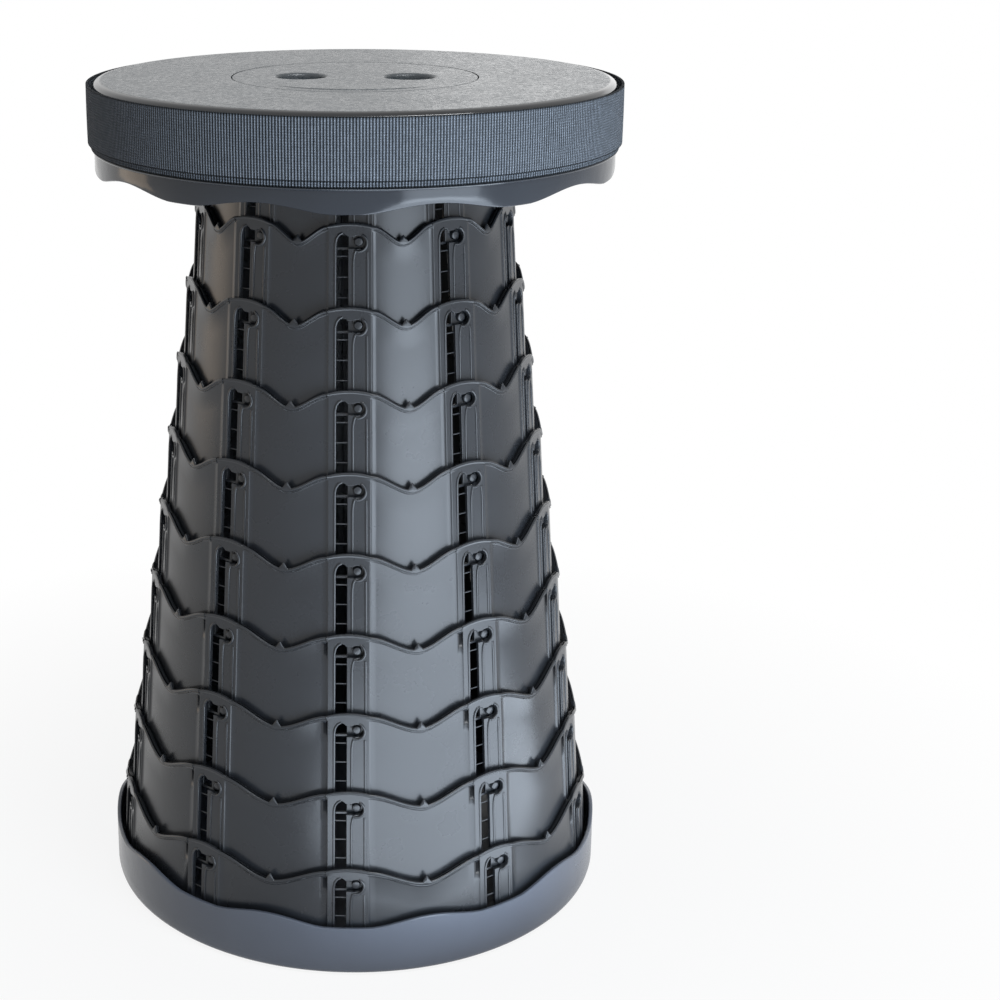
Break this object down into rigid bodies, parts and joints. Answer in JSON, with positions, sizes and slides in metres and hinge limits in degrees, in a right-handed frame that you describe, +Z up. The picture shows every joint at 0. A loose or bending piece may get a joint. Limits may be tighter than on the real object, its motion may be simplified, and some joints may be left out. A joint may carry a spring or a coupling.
{
  "type": "collapsible telescopic stool",
  "caption": "Round stool whose tapered tower of nested locking rings slides flat between the seat and the base tray, with a webbing belt and a carrying strap.",
  "frame": {"origin": "centre of the base tray's flat underside, on the tower's axis", "axes": "+Z up along the tower's axis, -Y towards the front, where a band of locks faces the viewer, +X to the viewer's right"},
  "size_m": [0.2796, 0.3108, 0.45],
  "materials": {
    "tray_plastic": "glossy blue-black moulded plastic",
    "ring_plastic": "semi-gloss dark grey moulded plastic",
    "seat_plastic": "satin, fine-grained dark grey moulded plastic",
    "foot_rubber": "matt black rubber",
    "screw_steel": "plain steel",
    "webbing": "black ribbed nylon webbing"
  },
  "bodies": {
    "base": {"base_tray": "tray_plastic", "foot_pad_1": "foot_rubber", "foot_pad_2": "foot_rubber", "foot_pad_3": "foot_rubber", "foot_pad_4": "foot_rubber", "foot_pad_5": "foot_rubber", "ring_10": "ring_plastic"},
    "stage_9": {"ring_9": "ring_plastic"},
    "stage_8": {"ring_8": "ring_plastic"},
    "stage_7": {"ring_7": "ring_plastic"},
    "stage_6": {"ring_6": "ring_plastic"},
    "stage_5": {"ring_5": "ring_plastic"},
    "stage_4": {"ring_4": "ring_plastic"},
    "stage_3": {"ring_3": "ring_plastic"},
    "stage_2": {"ring_2": "ring_plastic"},
    "seat": {"ring_1": "ring_plastic", "seat_skirt": "ring_plastic", "seat_lid": "seat_plastic", "centre_cap": "seat_plastic", "seat_screw_1": "screw_steel", "seat_screw_2": "screw_steel", "seat_screw_3": "screw_steel", "seat_screw_4": "screw_steel", "seat_screw_5": "screw_steel", "belt_inner_turn": "webbing", "belt_outer_turn": "webbing", "belt_end_tab": "webbing"},
    "strap": {"carrying_strap": "webbing"}
  },
  "joints": [
    {"name": "slide_9", "type": "slide", "parent": "base", "child": "stage_9", "axis": [0, 0, 1], "range_m": [-0.0412, 0]},
    {"name": "slide_8", "type": "slide", "parent": "stage_9", "child": "stage_8", "axis": [0, 0, 1], "range_m": [-0.0412, 0]},
    {"name": "slide_7", "type": "slide", "parent": "stage_8", "child": "stage_7", "axis": [0, 0, 1], "range_m": [-0.0412, 0]},
    {"name": "slide_6", "type": "slide", "parent": "stage_7", "child": "stage_6", "axis": [0, 0, 1], "range_m": [-0.0412, 0]},
    {"name": "slide_5", "type": "slide", "parent": "stage_6", "child": "stage_5", "axis": [0, 0, 1], "range_m": [-0.0412, 0]},
    {"name": "slide_4", "type": "slide", "parent": "stage_5", "child": "stage_4", "axis": [0, 0, 1], "range_m": [-0.0412, 0]},
    {"name": "slide_3", "type": "slide", "parent": "stage_4", "child": "stage_3", "axis": [0, 0, 1], "range_m": [-0.0412, 0]},
    {"name": "slide_2", "type": "slide", "parent": "stage_3", "child": "stage_2", "axis": [0, 0, 1], "range_m": [-0.0412, 0]},
    {"name": "slide_1", "type": "slide", "parent": "stage_2", "child": "seat", "axis": [0, 0, 1], "range_m": [-0.0412, 0]},
    {"name": "strap_swing", "type": "hinge", "parent": "seat", "child": "strap", "pos_m": [0, 0.1329, 0.4295], "axis": [1, 0, 0], "range_deg": [0, 125]}
  ]
}
